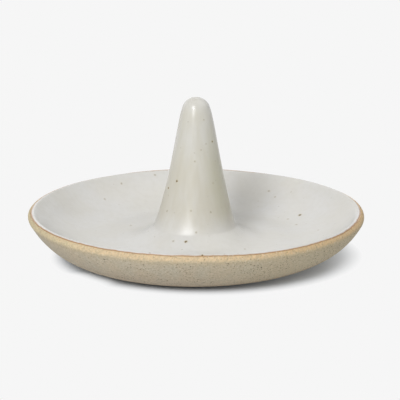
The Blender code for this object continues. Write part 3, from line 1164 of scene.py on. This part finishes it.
@dataclass
class ClayDish:
    """The bare clay dish with its seat, lip, belly, foot ring, recess and vent."""

    form: FormLine
    wheel: Wheel
    unevenness: ThrownUnevenness
    finish: BareStoneware = field(default_factory=BareStoneware)
    under_glaze: float = 0.42 * MM
    glaze_end: float = 20.0
    ledge_end: float = 29.0
    belly_radius: float = 36.0 * MM
    belly_height: float = 0.3 * MM
    foot_radius: float = 38.0 * MM
    foot_width: float = 4.5 * MM
    foot_edge: float = 0.3 * MM
    recess_depth: float = 1.2 * MM
    vent_radius: float = 4.0 * MM
    vent_chamfer: float = 0.4 * MM
    seat_gap: float = 0.3 * MM

    def seat(self) -> Section:
        """Draw the seat of the cone.

        Returns:
            Points from the vent to the floor of the dish.
        """
        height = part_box(Node.CONE.value)[0].z - self.seat_gap
        radius = self.form.flare_radius + self.seat_gap
        floor = self.form.floor_height - self.under_glaze
        return [Vector((self.vent_radius, height)), Vector((radius, height)), Vector((radius, floor))]

    def inside(self) -> Section:
        """Draw the inside of the dish under the glaze.

        Returns:
            Points from the seat to the ledge on the lip.
        """
        depth = self.under_glaze
        line = self.form.floor_run(depth, steps=4)[1:] + self.form.wall(depth, steps=22)[1:]
        return line + self.form.lip(depth, self.glaze_end, steps=8)[1:]

    def outside(self) -> Section:
        """Draw the outside of the dish.

        Returns:
            Points from the ledge on the lip to the shoulder of the foot.
        """
        form = self.form
        centre, radius, slope = form.bowl_curve(self.belly_radius, self.belly_height, -1)
        reach = self.foot_radius + self.foot_edge - self.belly_radius
        shoulder = 180 - math.degrees(math.asin(reach / radius))
        lip = form.arc(form.lip_centre, form.lip_radius, self.ledge_end, 180 - slope, steps=12)
        return lip + form.arc(centre, radius, 180 - slope, shoulder, steps=36)[1:]

    def foot(self) -> Section:
        """Draw the foot ring, the cove, the recess and the vent.

        Returns:
            Points from the shoulder of the foot to the seat.
        """
        inner = self.foot_radius - self.foot_width
        depth = self.recess_depth
        ring = [Vector((self.foot_radius, 0.0)), Vector((inner + self.foot_edge, 0.0))]
        cove = self.form.arc(Vector((inner - depth, 0.0)), depth, 90, 0, steps=8)
        vent = [Vector((self.vent_radius + self.vent_chamfer, depth)),
                Vector((self.vent_radius, depth + self.vent_chamfer))]
        return ring + cove + vent

    def build(self) -> bpy.types.Object:
        """Turn the dish, dress it and let it stand for its solid.

        Returns:
            The clay dish.
        """
        line = self.seat() + self.inside() + self.outside() + self.foot()
        piece = self.wheel.turn("clay_dish", line + line[:1])
        self.unevenness.apply(piece)
        self.finish.dress(piece)
        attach(piece, "root")
        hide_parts(Node.DISH.value)
        return piece


@dataclass
class GlazeCoat:
    """The coat of glaze over the cone, the inside of the dish and the crest of the lip."""

    form: FormLine
    wheel: Wheel
    unevenness: ThrownUnevenness
    finish: SatinWhiteGlaze = field(default_factory=SatinWhiteGlaze)
    thickness: float = 0.4 * MM
    end: float = 20.0
    roll: float = 9.0
    bead: float = 0.22 * MM
    bead_radius: float = 58.12 * MM
    bead_within: float = 0.95 * MM
    bead_beyond: float = 0.42 * MM
    bead_floor: float = 16.72 * MM

    def face(self, depth: float, end: float) -> Section:
        """Draw one face of the coat from the tip to the lip.

        Args:
            depth: How far the face lies below the glaze's outer one.
            end: Angle on the lip where it stops.

        Returns:
            Points of the face.
        """
        form = self.form
        line = form.tip(depth, steps=14) + form.cone_side(depth, steps=34)
        line += form.flare(depth, steps=18)[1:] + form.floor_run(depth, steps=6)[1:]
        return line + form.wall(depth, steps=22)[1:] + form.lip(depth, end, steps=26)[1:]

    def rolled_edge(self, steps: int) -> Section:
        """Draw the rolled edge between the outer and the inner face.

        Args:
            steps: Number of chords.

        Returns:
            Points between the two faces, without their ends.
        """
        points = []
        for i in range(1, steps):
            turn = math.radians(90 * i / steps)
            depth = self.thickness * (1 - math.cos(turn))
            angle = self.end + self.roll * math.sin(turn)
            points.append(self.form.on_circle(self.form.lip_centre, self.form.lip_radius - depth, angle))
        return points

    def on_bead(self, place: Vector) -> float:
        """Tell how full the bead is at a place, where the wiped glaze has drawn up inside its edge.

        Args:
            place: Point of the coat.

        Returns:
            Share of the bead.
        """
        if place.z < self.bead_floor:
            return 0.0
        off = (place.xy - Vector(self.finish.wiped.centre)).length - self.bead_radius
        return ease(abs(off), (self.bead_beyond if off > 0 else self.bead_within, 0.0))

    def build(self) -> bpy.types.Object:
        """Turn the coat, dress it and let it stand for its solid.

        Returns:
            The glazed face.
        """
        outer = self.face(0.0, self.end)
        inner = self.face(self.thickness, self.end + self.roll)
        piece = self.wheel.turn("glazed_face", outer + self.rolled_edge(steps=4) + inner[::-1])
        self.unevenness.push(piece, self.on_bead, "NORMAL", self.bead)
        self.unevenness.apply(piece)
        self.finish.dress(piece)
        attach(piece, "root")
        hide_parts(Node.GLAZE.value)
        return piece


@dataclass
class HiddenClay:
    """The hollow cone and the luting coil under the glaze, which keep their solids."""

    cone_finish: BareStoneware = field(default_factory=lambda: BareStoneware(name="thrown_cone_stoneware"))
    coil_finish: LutingClay = field(default_factory=LutingClay)

    def build(self) -> list[bpy.types.Object]:
        """Dress both solids.

        Returns:
            The cone and the coil.
        """
        cone, coil = (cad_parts[node.value] for node in (Node.CONE, Node.COIL))
        self.cone_finish.dress(cone)
        self.coil_finish.dress(coil)
        return [cone, coil]


@dataclass(frozen=True)
class Lamp:
    """A distant studio lamp, named for its place.

    Its share is how bright it makes a white card that faces it, where 1 is white.
    """

    name: str
    azimuth: float
    elevation: float
    spread: float
    share: float

    def build(self) -> bpy.types.Object:
        """Hang the lamp as a sun aimed at the pot.

        Returns:
            The lamp.
        """
        light = bpy.data.lights.new(self.name, "SUN")
        light.energy = self.share * math.pi
        light.angle = math.radians(self.spread)
        lamp = bpy.data.objects.new(self.name, light)
        turn, rise = math.radians(self.azimuth), math.radians(self.elevation)
        towards = Vector((math.sin(turn) * math.cos(rise), -math.cos(turn) * math.cos(rise), math.sin(rise)))
        lamp.rotation_euler = towards.to_track_quat("Z", "Y").to_euler()
        bpy.context.scene.collection.objects.link(lamp)
        return lamp


@dataclass
class StudioSet:
    """Pale floor, soft light and the camera at the photograph's angle."""

    floor_side: float = 8.0
    fill: float = 0.331
    lamps: tuple[Lamp, ...] = (
        Lamp("softbox_low_panel", -21.0, 28.0, 20.0, 0.358),
        Lamp("softbox_high_panel", -29.0, 42.0, 20.5, 0.305),
        Lamp("high_right_bank", 110.0, 55.0, 60.0, 0.18),
        Lamp("low_back_bank", 190.0, 30.0, 60.0, 0.076),
    )
    camera_distance: float = 0.65
    camera_elevation: float = 14.89
    camera_roll: float = 0.13
    camera_lens: float = 163.6
    camera_sensor: float = 36.0
    aim: tuple[float, float, float] = (1.47 * MM, 0.5 * MM, 19.9 * MM)
    paper: MattPaper = field(default_factory=MattPaper)

    def floor(self) -> bpy.types.Object:
        """Lay the floor, which is no part of the object.

        Returns:
            The floor.
        """
        bpy.ops.object.select_all(action="DESELECT")
        bpy.ops.mesh.primitive_plane_add(size=self.floor_side, location=(0, 0, 0))
        floor = bpy.context.object
        floor.name = "studio_floor"
        self.paper.dress(floor)
        return floor

    def world(self) -> bpy.types.World:
        """Fill the room with even light, and show it paper white to the camera and in reflections.

        Returns:
            The world.
        """
        world = bpy.data.worlds.new("studio_air")
        world.use_nodes = True
        tree = world.node_tree
        tree.nodes.clear()
        fill = add_node(tree, "ShaderNodeBackground", {"Color": linear("FFFFFF"), "Strength": self.fill})
        white = add_node(tree, "ShaderNodeBackground", {"Color": linear(self.paper.paper), "Strength": 1.0})
        mixed = add_node(tree, "ShaderNodeMixShader", {0: seen_plainly(tree), 1: fill, 2: white})
        add_node(tree, "ShaderNodeOutputWorld", {"Surface": mixed})
        bpy.context.scene.world = world
        return world

    def camera(self) -> bpy.types.Object:
        """Place the camera and make it the scene's own.

        Returns:
            The camera.
        """
        rise = math.radians(self.camera_elevation)
        away = Vector((0.0, -math.cos(rise), math.sin(rise)))
        data = bpy.data.cameras.new("studio_camera")
        data.lens = self.camera_lens
        data.sensor_width = self.camera_sensor
        camera = bpy.data.objects.new("studio_camera", data)
        camera.location = Vector(self.aim) + away * self.camera_distance
        turned = away.to_track_quat("Z", "Y").to_euler()
        turned.rotate_axis("Z", math.radians(-self.camera_roll))
        camera.rotation_euler = turned
        bpy.context.scene.collection.objects.link(camera)
        bpy.context.scene.camera = camera
        return camera

    def build(self) -> None:
        """Set up the floor, the fill, the lamps and the camera."""
        self.floor()
        self.world()
        for lamp in self.lamps:
            lamp.build()
        self.camera()
        bpy.context.scene.view_settings.view_transform = "Standard"


def report(piece: bpy.types.Object) -> None:
    """Log a piece's name, faces and size in millimetres."""
    size = " x ".join(f"{side / MM:.1f}" for side in piece.dimensions)
    log.info("%s: %d faces, %s mm", piece.name, len(piece.data.polygons), size)


def main() -> None:
    """Build the studio and the pot in order."""
    logging.basicConfig(level=logging.INFO, format="%(name)s: %(message)s")
    StudioSet().build()
    form = FormLine.from_frame()
    wheel = Wheel()
    unevenness = ThrownUnevenness()
    report(ClayDish(form, wheel, unevenness).build())
    report(GlazeCoat(form, wheel, unevenness).build())
    for piece in HiddenClay().build():
        report(piece)


if __name__ == "__main__":
    main()
